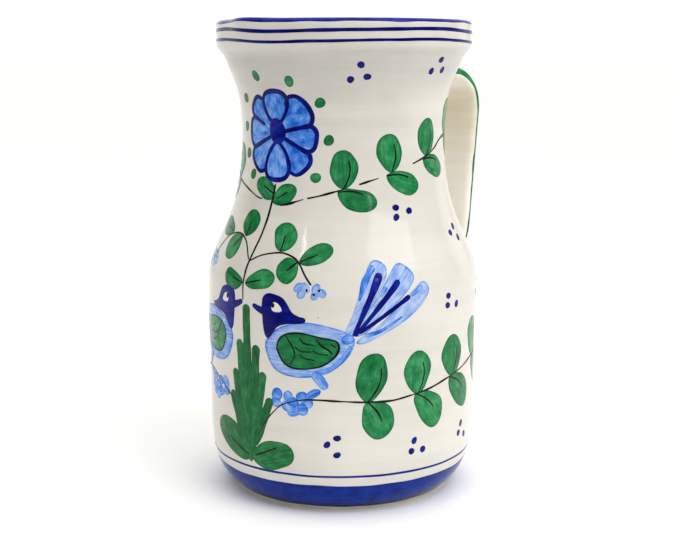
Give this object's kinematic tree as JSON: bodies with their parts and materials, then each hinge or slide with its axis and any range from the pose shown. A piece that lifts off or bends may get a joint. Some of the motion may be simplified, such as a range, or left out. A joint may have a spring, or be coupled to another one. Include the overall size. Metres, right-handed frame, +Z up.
{
  "type": "ceramic pitcher",
  "caption": "Glazed ceramic pitcher with a collared mouth, small pouring lip, strap handle and bare-clay foot ring, painted with birds, a flower and leafy vines.",
  "frame": {"origin": "on the body's axis, on the plane that the foot ring stands on", "axes": "+Z up through the mouth; +X towards the handle; the pouring lip is at -X"},
  "size_m": [0.1779, 0.1502, 0.258],
  "materials": {
    "body_glaze": "glossy tin glaze with hand-painted blue and green",
    "handle_glaze": "glossy tin glaze with green edges",
    "joint_glaze": "glossy tin glaze",
    "bare_clay": "unglazed, matt"
  },
  "bodies": {
    "root": {"body": "body_glaze", "foot_ring": "bare_clay", "handle": "handle_glaze", "upper_handle_joint": "joint_glaze", "lower_handle_joint": "joint_glaze"}
  },
  "joints": []
}
